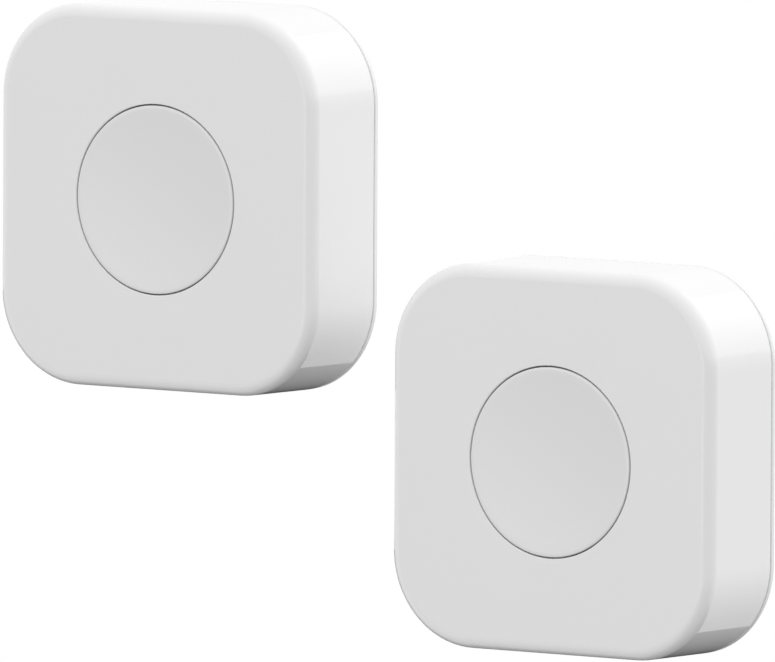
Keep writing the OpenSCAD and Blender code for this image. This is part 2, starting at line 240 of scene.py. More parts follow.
def circle(bm, radius, z, at=(0, 0), steps=ROUND):
    """A round outline."""
    made = bmesh.ops.create_circle(bm, cap_ends=False, radius=radius, segments=steps)
    bmesh.ops.translate(bm, vec=(at[0], at[1], z), verts=made["verts"])
    return edges_round(made["verts"])


def fill(bm, loops):
    """Fills a flat outline that has holes in it."""
    edges = [edge for loop in loops for edge in loop]
    made = bmesh.ops.triangle_fill(bm, edges=edges, use_beauty=True, use_dissolve=False)
    return faces_in(made["geom"])


def skin(bm, loops):
    """Joins outlines, one to the next. Two at one height are filled between instead."""
    for near, far in zip(loops, loops[1:]):
        heights = {round(vert.co.z, 4) for edge in near + far for vert in edge.verts}
        if len(heights) == 1:
            fill(bm, [near, far])
        else:
            bmesh.ops.bridge_loops(bm, edges=near + far)


def thicken(bm, faces, height):
    """Gives flat faces a thickness, upwards."""
    made = bmesh.ops.extrude_face_region(bm, geom=faces)
    bmesh.ops.translate(bm, vec=(0, 0, height), verts=points_in(made["geom"]))


def soften(bm, width, steps=2):
    """Rounds every sharp edge."""
    sharp = [edge for edge in bm.edges if edge.calc_face_angle(0) > SHARP]
    bevel(bm, sharp, width, steps)


def turned(profile, at=(0, 0), steps=ROUND, closed=False):
    """A chain of (radius, height, rounding) corners, turned about an upright axis."""
    bm = bmesh.new()
    rounding_steps = 3
    chain = [bm.verts.new((radius, 0, z)) for radius, z, _ in profile]
    ends = chain[1:] + (chain[:1] if closed else [])
    for near, far in zip(chain, ends):
        bm.edges.new((near, far))
    for vert, (_, _, rounding) in zip(chain, profile):
        if rounding:
            bevel(bm, [vert], rounding, rounding_steps, "VERTICES")
    bmesh.ops.spin(
        bm, geom=bm.verts[:] + bm.edges[:], cent=(0, 0, 0), axis=(0, 0, 1),
        angle=FULL_TURN, steps=steps, use_merge=True,
    )
    bmesh.ops.translate(bm, vec=(at[0], at[1], 0), verts=bm.verts[:])
    return bm


def block(x, y, width, height, low, high, edge=0.1, steps=2):
    """A block with rounded edges, centred on a point of the plane."""
    bm = bmesh.new()
    bmesh.ops.create_cube(bm, size=1)
    bmesh.ops.scale(bm, vec=(width, height, high - low), verts=bm.verts[:])
    bmesh.ops.translate(bm, vec=(x, y, (low + high) / 2), verts=bm.verts[:])
    if edge:
        soften(bm, edge, steps)
    return bm


def polygon(bm, points, z, rounding, steps=6):
    """A flat outline through corner points, each corner rounded."""
    face = bm.faces.new([bm.verts.new((x, y, z)) for x, y in points])
    corners = bevel(bm, list(face.verts), rounding, steps, "VERTICES")
    return opened(bm, corners["verts"][0].link_faces[0])


def post(radius, low, high, at, hole_r=0, hole_to=0):
    """A round post that hangs from the front wall, some with a blind hole in the free end."""
    edge = 0.15
    drill_edge = 0.1
    drill_point = 0.4 * hole_r
    profile = [(0, high, 0), (radius, high, 0), (radius, low, edge)]
    if hole_r:
        profile += [(hole_r, low, edge), (hole_r, hole_to, drill_edge), (0, hole_to + drill_point, 0)]
    else:
        profile += [(0, low, 0)]
    return turned(profile, at, steps=32)


def at_corners(distance):
    """The four points at one distance from both middle lines."""
    return [(x * distance, y * distance) for x in (-1, 1) for y in (-1, 1)]


# Making objects


def settle(bm):
    """Merges what meets and turns every face outwards."""
    hair = 0.0005
    bmesh.ops.remove_doubles(bm, verts=bm.verts[:], dist=hair)
    bmesh.ops.recalc_face_normals(bm, faces=bm.faces[:])


def gather(parts):
    """One bmesh of several closed shells. A part may be a pair of a shell and its material's number."""
    whole = bmesh.new()
    for part in parts:
        bm, number = part if isinstance(part, tuple) else (part, 0)
        settle(bm)
        for face in bm.faces:
            face.material_index = number
        held = bpy.data.meshes.new("held")
        bm.to_mesh(held)
        whole.from_mesh(held)
        bpy.data.meshes.remove(held)
        bm.free()
    return whole


def piece(name, parts, half, body, node, materials):
    """A finished object that stands for a CAD node and rides on its body."""
    bm = gather(parts)
    bmesh.ops.transform(bm, matrix=PLACES[half], verts=bm.verts[:])
    for face in bm.faces:
        face.smooth = True
    for edge in bm.edges:
        edge.smooth = edge.calc_face_angle(0) < SHARP
    mesh = bpy.data.meshes.new(name)
    bm.to_mesh(mesh)
    bm.free()
    for material in materials:
        mesh.materials.append(material)
    made = bpy.data.objects.new(name, mesh)
    bpy.context.scene.collection.objects.link(made)
    normals = made.modifiers.new("Normals", "WEIGHTED_NORMAL")
    normals.keep_sharp = True
    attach(made, body)
    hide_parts(node)
    return made


# Housing


def quarter(steps):
    """Sine and cosine at even steps through a quarter turn."""
    turns = [math.radians(90 * step / steps) for step in range(steps + 1)]
    return [(math.sin(turn), math.cos(turn)) for turn in turns]


def shell_blank():
    """Shell with a rounded front edge, a little draft, a round hole and a rounded rear rim."""
    bm = bmesh.new()
    rim = 0.1
    lip = 0.14
    fillet = 0.5
    fillet_steps = 3
    outside = [
        square(bm, BODY_W + 2 * DRAFT - 2 * rim, CORNER_R + DRAFT - rim, SHELL_Z),
        square(bm, BODY_W + 2 * DRAFT, CORNER_R + DRAFT, SHELL_Z + rim),
    ]
    for rise, run in quarter(10):
        inset = FRONT_FILLET * (1 - run)
        height = BODY_D - FRONT_FILLET * (1 - rise)
        outside.append(square(bm, BODY_W - 2 * inset, CORNER_R - inset, height))
    hole = [
        circle(bm, HOLE_R + lip * (1 - rise), BODY_D - lip * (1 - run))
        for rise, run in quarter(fillet_steps)
    ]
    hole.append(circle(bm, HOLE_R, FRONT_Z + rim))
    hole.append(circle(bm, HOLE_R + rim, FRONT_Z))
    inside = []
    for rise, run in quarter(fillet_steps):
        inset = fillet * (1 - rise)
        height = FRONT_Z - fillet * (1 - run)
        inside.append(square(bm, INNER_W - 2 * inset, INNER_R - inset, height))
    inside.append(square(bm, INNER_W, INNER_R, SHELL_Z + rim))
    inside.append(square(bm, INNER_W + 2 * rim, INNER_R + rim, SHELL_Z))
    inside.append(outside[0])
    skin(bm, outside)
    fill(bm, [outside[-1], hole[0]])
    skin(bm, hole)
    fill(bm, [hole[-1], inside[0]])
    skin(bm, inside)
    return bm


def peg_bosses():
    """Bosses with sockets for the base's pegs."""
    return [
        post(BOSS_R, BOSS_Z, FRONT_Z + WELD, at, SOCKET_R, SOCKET_TOP) for at in at_corners(PEG_AT)
    ]


def ribs():
    """Thin webs from the bosses to the side walls, set a little towards the middle."""
    web = 0.9
    low = 7.2
    high = FRONT_Z + 0.2
    towards_middle = 0.9
    edge = 0.05
    overlap = 0.3
    near = PEG_AT + BOSS_R - overlap
    reach = INNER_W / 2 + WELD / 2
    parts = []
    for x, y in at_corners(PEG_AT):
        middle = math.copysign((near + reach) / 2, x)
        parts.append(block(middle, y * towards_middle, reach - near, web, low, high, edge))
    return parts


def sensor_shell(materials):
    """The sensor half's shell, with posts for the board's screws and props for its sides."""
    posts = [
        post(SCREW_POST_R, BOARD_TOP, FRONT_Z + WELD, (0, y), PILOT_R, BOARD_TOP + PILOT_L)
        for y in (-SCREW_POST_AT, SCREW_POST_AT)
    ]
    props = [post(PROP_R, BOARD_TOP, FRONT_Z + WELD, (x, 0)) for x in (-PROP_AT, PROP_AT)]
    parts = [shell_blank(), *peg_bosses(), *ribs(), *posts, *props]
    piece(
        "sensor_shell_moulding", parts, "sensor", "sensor_housing",
        "sensor_front_shell", [materials["gloss"]],
    )


def magnet_shell(materials):
    """The magnet half's shell, with posts for the carrier's screws."""
    pilot_top = 11.2
    posts = [
        post(SCREW_POST_R, CARRIER_TOP, FRONT_Z + WELD, at, PILOT_R, pilot_top)
        for at in CARRIER_SCREWS
    ]
    parts = [shell_blank(), *peg_bosses(), *ribs(), *posts]
    piece(
        "magnet_shell_moulding", parts, "magnet", "magnet_housing",
        "magnet_front_shell", [materials["gloss"]],
    )


def dish_height(radius):
    """Height of the cap's shallow dish at a distance from its axis."""
    sphere = (DISH_R**2 + DISH**2) / (2 * DISH)
    return BODY_D - DISH + sphere - math.sqrt(sphere**2 - radius**2)


def cap_parts():
    """Dished disc with a skirt, a flange and a post, turned in one piece."""
    rings = 14
    rim, foot, corner, root, tip = 0.14, 0.06, 0.1, 0.3, 0.2
    under = BODY_D - CAP_T
    radii = [DISH_R * step / rings for step in range(rings + 1)]
    profile = [(radius, dish_height(radius), 0) for radius in radii]
    profile += [
        (CAP_R, BODY_D, rim),
        (CAP_R, FRONT_Z, foot),
        (FLANGE_R, FRONT_Z, corner),
        (FLANGE_R, FLANGE_Z, corner),
        (SKIRT_R, FLANGE_Z, corner),
        (SKIRT_R, under, root),
        (POST_R, under, root),
        (POST_R, POST_Z, tip),
        (0, POST_Z, 0),
    ]
    return [turned(profile)]


def caps(materials):
    """The round disc of each half, which are the same moulding."""
    piece(
        "sensor_cap_moulding", cap_parts(), "sensor", "sensor_button",
        "sensor_button_cap", [materials["cap"]],
    )
    piece(
        "magnet_cap_moulding", cap_parts(), "magnet", "magnet_button",
        "magnet_cap", [materials["cap"]],
    )


def screw_ring(bm, at):
    """A countersunk hole in a raised ring: its outlines on the rear and on the floor of the base."""
    rim = 0.1
    half_edge = 0.05
    steps = 48
    sink_z = RING_Z - (SINK_R - SCREW_HOLE_R)
    rear_hole = circle(bm, SCREW_HOLE_R + rim, 0, at, steps)
    front_ring = circle(bm, RING_R, BASE_T, at, steps)
    skin(bm, [
        rear_hole,
        circle(bm, SCREW_HOLE_R, rim, at, steps),
        circle(bm, SCREW_HOLE_R, sink_z, at, steps),
        circle(bm, SINK_R - half_edge, RING_Z - half_edge, at, steps),
        circle(bm, SINK_R + half_edge, RING_Z, at, steps),
        circle(bm, RING_R - rim, RING_Z, at, steps),
        circle(bm, RING_R, RING_Z - rim, at, steps),
        front_ring,
    ])
    return rear_hole, front_ring


def base_plate():
    """Base with a visible edge, a lip, a recess for the tape and two screw holes."""
    bm = bmesh.new()
    rim = 0.1
    lead_in = 0.2
    lead_drop = 0.3
    lip_edge = 0.15
    recess_r = 0.6
    recess_steps = 6
    out = BODY_W + 2 * DRAFT
    out_r = CORNER_R + DRAFT
    room = LIP_W - 2 * LIP_T
    room_r = LIP_R - LIP_T
    rear = square(bm, out - 2 * rim, out_r - rim, 0)
    inside = square(bm, room, room_r, BASE_T)
    skin(bm, [
        rear,
        square(bm, out, out_r, rim),
        square(bm, out, out_r, BASE_EDGE - rim),
        square(bm, out - 2 * rim, out_r - rim, BASE_EDGE),
        square(bm, LIP_W, LIP_R, BASE_EDGE),
        square(bm, LIP_W, LIP_R, LIP_Z - lead_drop),
        square(bm, LIP_W - 2 * lead_in, LIP_R - lead_in, LIP_Z),
        square(bm, room + 2 * lip_edge, room_r + lip_edge, LIP_Z),
        square(bm, room, room_r, LIP_Z - lip_edge),
        inside,
    ])
    rear_holes = []
    front_rings = []
    for y in (-WALL_SCREW_AT, WALL_SCREW_AT):
        rear_hole, front_ring = screw_ring(bm, (0, y))
        rear_holes.append(rear_hole)
        front_rings.append(front_ring)
    recess = opened(bm, flat(bm, PAD_W, PAD_H, recess_r, 0, steps=recess_steps))
    bed = flat(bm, PAD_W, PAD_H, recess_r, PAD_T, steps=recess_steps)
    bmesh.ops.bridge_loops(bm, edges=recess + list(bed.edges))
    fill(bm, [rear, recess, *rear_holes])
    fill(bm, [inside, *front_rings])
    return bm


def base_parts():
    """The base with its four friction pegs."""
    root = BASE_T - WELD
    lead_in = 0.4
    profile = [(0, root, 0), (PEG_R, root, 0), (PEG_R, PEG_TOP, lead_in), (0, PEG_TOP, 0)]
    pegs = [turned(profile, at, steps=32) for at in at_corners(PEG_AT)]
    return [base_plate(), *pegs]


def bases(materials):
    """The wall base of each half, which are the same moulding."""
    piece(
        "sensor_base_moulding", base_parts(), "sensor", "wall_side",
        "sensor_base", [materials["satin"]],
    )
    piece(
        "magnet_base_moulding", base_parts(), "magnet", "magnet_wall_side",
        "magnet_base", [materials["satin"]],
    )


def tape_parts():
    """Foam tape cut with small round corners."""
    bm = bmesh.new()
    play = 0.08
    corner = 0.7
    edge = 0.06
    face = flat(bm, PAD_W - 2 * play, PAD_H - 2 * play, corner, 0, steps=6)
    thicken(bm, [face], PAD_T)
    soften(bm, edge)
    return [bm]


def tapes(materials):
    """The foam tape behind each half."""
    for half, body in (("sensor", "wall_side"), ("magnet", "magnet_wall_side")):
        made = piece(
            f"{half}_foam_tape", tape_parts(), half, body,
            f"{half}_adhesive_pad", [materials["tape"]],
        )


# Inside the sensor half


def on_diagonal(vert):
    return abs(abs(vert.co.x) - abs(vert.co.y)) < 0.01


def board_blank():
    """Board cut back round the bosses, with holes for its screws and the reed's leads."""
    bm = bmesh.new()
    arm, half = BOARD_ARM, BOARD_HALF
    corner_r = 0.6
    lead_hole_r = LEAD_R + 0.1
    one_corner = [(arm, half), (arm, arm), (half, arm)]
    points = []
    for turn in range(4):
        for x, y in reversed(one_corner):
            for _ in range(turn):
                x, y = -y, x
            points.append((x, y))
    face = bm.faces.new([bm.verts.new((x, y, BOARD_Z)) for x, y in points])
    outer = [vert for vert in face.verts if not on_diagonal(vert)]
    bevel(bm, outer, corner_r, 4, "VERTICES")
    inner = [vert for vert in bm.verts if on_diagonal(vert)]
    bevel(bm, inner, NOTCH_R, 12, "VERTICES")
    outline = opened(bm, bm.faces[:][0])
    holes = [
        circle(bm, BOARD_HOLE_R, BOARD_Z, (0, y), steps=32) for y in (-SCREW_POST_AT, SCREW_POST_AT)
    ]
    holes += [circle(bm, lead_hole_r, BOARD_Z, (REED_X, y), steps=16) for y in (-LEAD_AT, LEAD_AT)]
    thicken(bm, fill(bm, [outline, *holes]), BOARD_TOP - BOARD_Z)
    return bm


def washer(r_in, r_out, low, high, at):
    """A thin flat ring."""
    profile = [(r_in, low, 0), (r_out, low, 0), (r_out, high, 0), (r_in, high, 0)]
    return turned(profile, at, steps=32, closed=True)


def solder(at, z, side):
    """A small cone of solder round a lead, with a hollow flank."""
    cone = ((0, 0), (0.8, 0), (0.5, 0.12), (0.36, 0.4), (0, 0.45))
    profile = [(radius, z + side * height, 0) for radius, height in cone]
    return turned(profile, at, steps=20)


def board(materials):
    """The board with a gold ring under each screw's head and solder round the reed's leads."""
    ring_in, ring_out = 1.66, 2.3
    low, high = BOARD_Z - 0.03, BOARD_Z + 0.01
    rings = [
        (washer(ring_in, ring_out, low, high, (0, y)), 1) for y in (-SCREW_POST_AT, SCREW_POST_AT)
    ]
    joints = [(solder((REED_X, y), BOARD_Z, -1), 2) for y in (-LEAD_AT, LEAD_AT)]
    joints += [(solder((REED_X, y), BOARD_TOP, 1), 2) for y in (-LEAD_AT, LEAD_AT)]
    piece(
        "sensor_circuit_board", [board_blank(), *rings, *joints], "sensor", "sensor_housing",
        "sensor_pcb", [materials["board"], materials["gold"], materials["tin"]],
    )


def glass_tube():
    """Glass tube closed round the leads, with rounded shoulders."""
    half = REED_L / 2
    bore = REED_R - GLASS_T
    cone = 0.5
    tip, neck, shoulder, throat = 0.1, 0.1, 0.6, 0.3
    profile = [
        (LEAD_R, -half, tip),
        (REED_R, -half + neck, shoulder),
        (REED_R, half - neck, shoulder),
        (LEAD_R, half, tip),
        (LEAD_R, half - GLASS_END, 0),
        (bore, half - GLASS_END - cone, throat),
        (bore, GLASS_END - half + cone, throat),
        (LEAD_R, GLASS_END - half, 0),
    ]
    bm = turned(profile, steps=32, closed=True)
    rotated(bm, bm.verts[:], QUARTER_TURN, "X")
    bmesh.ops.translate(bm, vec=(REED_X, 0, REED_Z), verts=bm.verts[:])
    return bm


def lead(side):
    """A round lead along the reed's axis, bent once and run through the board."""
    bm = bmesh.new()
    bend = 0.7
    play = 0.02
    start = REED_L / 2 - GLASS_END - 0.4
    made = bmesh.ops.create_circle(bm, cap_ends=True, radius=LEAD_R - play, segments=16)
    rotated(bm, made["verts"], QUARTER_TURN, "X")
    bmesh.ops.translate(bm, vec=(REED_X, start, REED_Z), verts=made["verts"])
    run = bmesh.ops.extrude_face_region(bm, geom=bm.faces[:])["geom"]
    bmesh.ops.translate(bm, vec=(0, LEAD_AT - bend - start, 0), verts=points_in(run))
    turn = bmesh.ops.spin(
        bm, geom=faces_in(run), cent=(REED_X, LEAD_AT - bend, REED_Z + bend),
        axis=(1, 0, 0), angle=QUARTER_TURN, steps=8,
    )["geom_last"]
    run = bmesh.ops.extrude_face_region(bm, geom=faces_in(turn))["geom"]
    bmesh.ops.translate(bm, vec=(0, 0, LEAD_TOP - REED_Z - bend), verts=points_in(run))
    inner = [face for face in bm.faces if all(len(edge.link_faces) > 2 for edge in face.edges)]
    bmesh.ops.delete(bm, geom=inner, context="FACES_ONLY")
    bmesh.ops.scale(bm, vec=(1, side, 1), verts=bm.verts[:])
    return bm


def blade(side):
    """One spring blade of the reed."""
    width, sheet, gap, overlap = 0.8, 0.15, 0.1, 1.2
    edge = 0.03
    end = REED_L / 2 - GLASS_END - 0.1
    length = end + overlap / 2
    middle = REED_Z + side * (gap + sheet) / 2
    low, high = middle - sheet / 2, middle + sheet / 2
    return block(REED_X, side * (end - length / 2), width, length, low, high, edge, steps=1)


def reed(materials):
    """The glass tube, and the two leads with their blades inside it."""
    piece(
        "reed_tube", [glass_tube()], "sensor", "sensor_housing",
        "reed_glass", [materials["glass"]],
    )
    parts = [shape(side) for side in (-1, 1) for shape in (lead, blade)]
    piece(
        "reed_wires", parts, "sensor", "sensor_housing",
        "reed_leads", [materials["tin"]],
    )


def coin_cell(materials):
    """A drawn can with a rolled edge over a sealing ring, and the smaller cap inside it."""
    at = (CELL_X, 0)
    panel = CELL_Z + 0.06
    panel_r, ridge_r = 7.6, 7.9
    sunk = CAN_TOP - 0.5
    mouth_r = 9.25
    can = turned([
        (0, panel, 0), (panel_r, panel, 0.1), (ridge_r, CELL_Z, 0.1), (CELL_R, CELL_Z, 0.45),
        (CELL_R, CAN_TOP, 0.3), (mouth_r, CAN_TOP, 0.08), (mouth_r, sunk, 0), (0, sunk, 0),
    ], at)
    seal_in, seal_out = 9.0, 9.27
    seal_top = CAN_TOP + 0.04
    seal = turned([
        (seal_in, sunk, 0), (seal_out, sunk, 0), (seal_out, seal_top, 0.05), (seal_in, seal_top, 0.05),
    ], at, closed=True)
    foot_r, side_r, top_r = 9.02, 8.95, 8.5
    cap = turned([
        (0, sunk, 0), (foot_r, sunk, 0), (side_r, CAN_TOP + 0.1, 0.1),
        (top_r, CELL_TOP, 0.2), (0, CELL_TOP, 0),
    ], at)
    piece(
        "lithium_coin_cell", [can, (seal, 1), cap], "sensor", "sensor_housing",
        "coin_cell", [materials["cell"], materials["black"]],
    )


def holder_ring():
    """An open ring, with a gap for the positive contact."""
    bm = bmesh.new()
    half_gap = 3.5
    edge = 0.15
    turn = math.asin(half_gap / HOLDER_IN)
    section = flat(bm, HOLDER_OUT - HOLDER_IN, BOARD_Z - HOLDER_Z, edge, 0, steps=3)
    verts = list(section.verts)
    rotated(bm, verts, QUARTER_TURN, "X")
    middle = ((HOLDER_IN + HOLDER_OUT) / 2, 0, (HOLDER_Z + BOARD_Z) / 2)
    bmesh.ops.translate(bm, vec=middle, verts=verts)
    rotated(bm, verts, QUARTER_TURN + turn, "Z")
    bmesh.ops.spin(
        bm, geom=[section], cent=(0, 0, 0), axis=(0, 0, 1), angle=FULL_TURN - 2 * turn, steps=72
    )
    bmesh.ops.translate(bm, vec=(CELL_X, 0, 0), verts=bm.verts[:])
    return bm


def holder_hook(degrees):
    """A finger that stands on the ring and hooks over the cell's edge."""
    thick = 1.0
    low = CELL_Z - 0.3
    finger_w, finger_at = 3.0, HOLDER_IN + 0.6
    nose_w, nose_at = 2.8, HOLDER_IN - 0.3
    finger = block(finger_at, 0, thick, finger_w, low, HOLDER_Z + WELD, edge=0.12)
    nose = block(nose_at, 0, thick, nose_w, low, CELL_Z, edge=0.08)
    parts = [finger, nose]
    for bm in parts:
        rotated(bm, bm.verts[:], math.radians(degrees), "Z")
        bmesh.ops.translate(bm, vec=(CELL_X, 0, 0), verts=bm.verts[:])
    return parts


def holder(materials):
    """The cell's holder: a ring with four hooks."""
    parts = [holder_ring()]
    for degrees in (30, 150, 210, 330):
        parts += holder_hook(degrees)
    piece(
        "coin_cell_holder", parts, "sensor", "sensor_housing",
        "battery_holder", [materials["black"]],
    )


def switch_dome(materials):
    """Spring dome, which on the real switch flattens under the button; it is made here in its rest
    shape, on a mesh of its own.
    """
    steps = 10
    rim = DOME_Z + DOME_SHEET
    outer = [
        (DOME_R * step / steps, rim + DOME_RISE * math.cos(QUARTER_TURN * step / steps), 0)
        for step in range(steps + 1)
    ]
    inner = [(radius, z - DOME_SHEET, 0) for radius, z, _ in reversed(outer)]
    made = piece(
        "tactile_dome", [turned(outer + inner, steps=48)], "sensor", "sensor_housing",
        "switch_dome", [materials["spring"]],
    )
    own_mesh(made)


# Inside the magnet half


def carrier_plate():
    """Plate with an arm, three screw holes and round corners."""
    bm = bmesh.new()
    left, right, tall = CARRIER_LEFT, CARRIER_RIGHT, CARRIER_HALF_H
    corner_r = 0.8
    points = [
        (left, -tall), (right, -tall), (right, -ARM_HALF), (ARM_END, -ARM_HALF),
        (ARM_END, ARM_HALF), (right, ARM_HALF), (right, tall), (left, tall),
    ]
    outline = polygon(bm, points, CARRIER_Z, corner_r)
    holes = [circle(bm, BOARD_HOLE_R, CARRIER_Z, at, steps=32) for at in CARRIER_SCREWS]
    thicken(bm, fill(bm, [outline, *holes]), CARRIER_TOP - CARRIER_Z)
    return bm


def pocket():
    """Walls of the magnet's pocket."""
    bm = bmesh.new()
    at = (POCKET_X, 0)
    top = CARRIER_Z + 0.2
    edge = 0.15
    outer_r = 0.8
    inner_r = 0.1
    inner_w = POCKET_W - 2 * POCKET_T
    inner_l = POCKET_L - 2 * POCKET_T

    def ring(width, length, radius, z):
        return opened(bm, flat(bm, width, length, radius, z, at, steps=6))

    loops = [
        ring(POCKET_W, POCKET_L, outer_r, top),
        ring(POCKET_W, POCKET_L, outer_r, POCKET_Z + edge),
        ring(POCKET_W - 2 * edge, POCKET_L - 2 * edge, outer_r - edge, POCKET_Z),
        ring(inner_w + 2 * edge, inner_l + 2 * edge, inner_r + edge, POCKET_Z),
        ring(inner_w, inner_l, inner_r, POCKET_Z + edge),
        ring(inner_w, inner_l, inner_r, top),
    ]
    skin(bm, loops + loops[:1])
    return bm


def carrier(materials):
    """The magnet's carrier: a plate with two ribs on its arm, and the pocket."""
    rib_at, rib_l, rib_w, rib_edge = 2.4, 17.0, 0.8, 0.12
    rib_x = (CARRIER_RIGHT + ARM_END) / 2 - 3.5
    low, high = CARRIER_Z - 0.8, CARRIER_Z + 0.2
    ribs_on_arm = [block(rib_x, y, rib_l, rib_w, low, high, rib_edge) for y in (-rib_at, rib_at)]
    piece(
        "magnet_holder_moulding", [carrier_plate(), pocket(), *ribs_on_arm], "magnet", "magnet_housing",
        "magnet_carrier", [materials["grey"]],
    )


def magnet(materials):
    """A plated bar with well-rounded edges."""
    bar = block(POCKET_X, 0, MAGNET_W, MAGNET_L, MAGNET_Z, CARRIER_Z, edge=0.35, steps=4)
    piece(
        "nickel_bar_magnet", [bar], "magnet", "magnet_housing",
        "bar_magnet", [materials["nickel"]],
    )


def cap_foam(materials):
    """Foam disc that springs the magnet half's cap, which on the real part flattens as the cap is
    pressed; it is made here at rest, on a mesh of its own.
    """
    middle = (CARRIER_TOP + POST_Z) / 2
    bulge = 0.1
    rim, side = 0.1, 0.6
    profile = [
        (0, CARRIER_TOP, 0), (FOAM_R - bulge, CARRIER_TOP, rim), (FOAM_R, middle, side),
        (FOAM_R - bulge, POST_Z, rim), (0, POST_Z, 0),
    ]
    made = piece(
        "cap_foam_spring", [turned(profile, steps=48)], "magnet", "magnet_housing",
        "magnet_cap_pad", [materials["foam"]],
    )
    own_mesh(made)


# Shaders


class Field:
    """A shader socket that takes part in sums."""

    def __init__(self, tree, socket):
        self.tree = tree
        self.socket = socket

    def sum(self, operation, first, second):
        settings = {"operation": operation}
        return self.tree.node("ShaderNodeMath", settings, {0: first, 1: second})

    def __add__(self, other):
        return self.sum("ADD", self, other)

    __radd__ = __add__

    def __sub__(self, other):
        return self.sum("SUBTRACT", self, other)

    def __rsub__(self, other):
        return self.sum("SUBTRACT", other, self)

    def __mul__(self, other):
        return self.sum("MULTIPLY", self, other)

    __rmul__ = __mul__

    def __lt__(self, other):
        return self.sum("LESS_THAN", self, other)

    def __gt__(self, other):
        return self.sum("GREATER_THAN", self, other)


class Tree:
    """A node tree with one method that adds any node."""

    def __init__(self, owner):
        owner.use_nodes = True
        self.nodes = owner.node_tree.nodes
        self.links = owner.node_tree.links
        self.nodes.clear()

    def node(self, kind, settings=None, inputs=None, output=0):
        made = self.nodes.new(kind)
        for name, value in (settings or {}).items():
            if name == "stops":
                self.set_stops(made, value)
            else:
                setattr(made, name, value)
        for name, value in (inputs or {}).items():
            self.feed(made.inputs[name], value)
        if not made.outputs:
            return None
        return Field(self, made.outputs[output])

    def set_stops(self, ramp, stops):
        elements = ramp.color_ramp.elements
        while len(elements) < len(stops):
            elements.new(0.5)
        for element, (place, colour) in zip(elements, stops):
            element.position = place
            element.color = (*colour, 1)

    def feed(self, socket, value):
        if isinstance(value, Field):
            self.links.new(value.socket, socket)
        elif isinstance(value, tuple) and len(value) == 3 and socket.type == "RGBA":
            socket.default_value = (*value, 1)
        else:
            socket.default_value = value

    def place(self):
        """Object coordinates, in metres."""
        return self.node("ShaderNodeTexCoord", output="Object")

    def noise(self, scale, detail=2.0, rough=0.5):
        return self.node(
            "ShaderNodeTexNoise", None,
            {"Vector": self.place(), "Scale": scale, "Detail": detail, "Roughness": rough},
        )

    def cells(self, scale):
        """Distance from the nearest of many scattered points."""
        return self.node(
            "ShaderNodeTexVoronoi", {"feature": "F1"},
            {"Vector": self.place(), "Scale": scale}, "Distance",
        )

    def blend(self, factor, first, second):
        """A colour between two colours."""
        colour_output = 2
        return self.node(
            "ShaderNodeMix", {"data_type": "RGBA"},
            {"Factor": factor, "A": first, "B": second}, colour_output,
        )

    def clamp(self, value):
        """A value held between 0 and 1."""
        return self.node("ShaderNodeClamp", None, {"Value": value})

    def pick(self, mask, chosen, other):
        """One of two values, by a mask."""
        return other + mask * (chosen - other)

    def bump(self, height, strength, distance):
        return self.node(
            "ShaderNodeBump", None, {"Height": height, "Strength": strength, "Distance": distance}
        )


def finished(material, tree, inputs):
    """Closes a material's tree with its surface shader."""
    surface = tree.node("ShaderNodeBsdfPrincipled", None, inputs)
    tree.node("ShaderNodeOutputMaterial", None, {"Surface": surface})
    return material


def started(name):
    """A new material and its empty tree."""
    material = bpy.data.materials.new(name)
    return material, Tree(material)


def plastic(name, pale, deep, rough, spread, grain, depth):
    """Moulded plastic: a faint flow tone, a fine moulded grain and a slightly uneven gloss."""
    material, tree = started(name)
    flow = tree.noise(60.0, 3.0)
    fine = tree.noise(grain, 3.0, 0.6)
    wear = tree.noise(260.0, 4.0)
    return finished(material, tree, {
        "Base Color": tree.blend(flow, deep, pale),
        "Roughness": rough + (wear - 0.5) * spread,
        "IOR": 1.5,
        "Normal": tree.bump(fine, 0.25, depth),
    })


def foam(name, pale, deep, size):
    """Closed-cell foam: round cells, pale and raised in their middles, sinking and darker towards their
    edges; the darker edges are painted shade in the hollows.
    """
    material, tree = started(name)
    finer = 2.7
    pores = tree.cells(size)
    small = tree.cells(size * finer)
    height = pores * 0.7 + small * 0.3
    return finished(material, tree, {
        # The colour follows the bump height: painted shade where the surface sinks between the cells.
        "Base Color": tree.blend(height, pale, deep),
        "Roughness": 0.75 + (small - 0.4) * 0.3,
        "Normal": tree.bump(1 - height, 0.6, 0.00012),
    })


def metal(name, pale, deep, rough, spread):
    """Plated or rolled metal: fine drawn lines, faint tarnish and an uneven polish."""
    material, tree = started(name)
    stretch = (900.0, 60.0, 900.0)
    drawn = tree.node("ShaderNodeMapping", None, {"Vector": tree.place(), "Scale": stretch})
    lines = tree.node("ShaderNodeTexNoise", None, {"Vector": drawn, "Scale": 9.0, "Detail": 3.0})
    tarnish = tree.noise(350.0, 4.0)
    return finished(material, tree, {
        "Base Color": tree.blend(tarnish, deep, pale),
        "Metallic": 1.0,
        "Roughness": rough + (lines - 0.5) * spread,
        "Normal": tree.bump(lines, 0.15, 0.00002),
    })


def cell_metal(name):
    """Rolled steel with rings turned about the cell's axis."""
    material, tree = started(name)
    low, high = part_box("coin_cell")
    middle = tuple((low + high) / 2)
    across_axis = (1.0, 0.0, 1.0)
    rings_per_metre = 9000

    def vector(operation, inputs, output=0):
        return tree.node("ShaderNodeVectorMath", {"operation": operation}, inputs, output)

    centred = vector("SUBTRACT", {0: tree.place(), 1: middle})
    in_plane = vector("MULTIPLY", {0: centred, 1: across_axis})
    radius = vector("LENGTH", {0: in_plane}, "Value")
    rings = tree.node(
        "ShaderNodeTexNoise", {"noise_dimensions": "1D"},
        {"W": radius * rings_per_metre, "Scale": 1.0, "Detail": 3.0},
    )
    tarnish = tree.noise(180.0, 4.0)
    return finished(material, tree, {
        "Base Color": tree.blend(tarnish, (0.55, 0.55, 0.54), (0.68, 0.67, 0.65)),
        "Metallic": 1.0,
        "Roughness": 0.26 + (rings - 0.5) * 0.16,
        "Normal": tree.bump(rings, 0.12, 0.00002),
    })


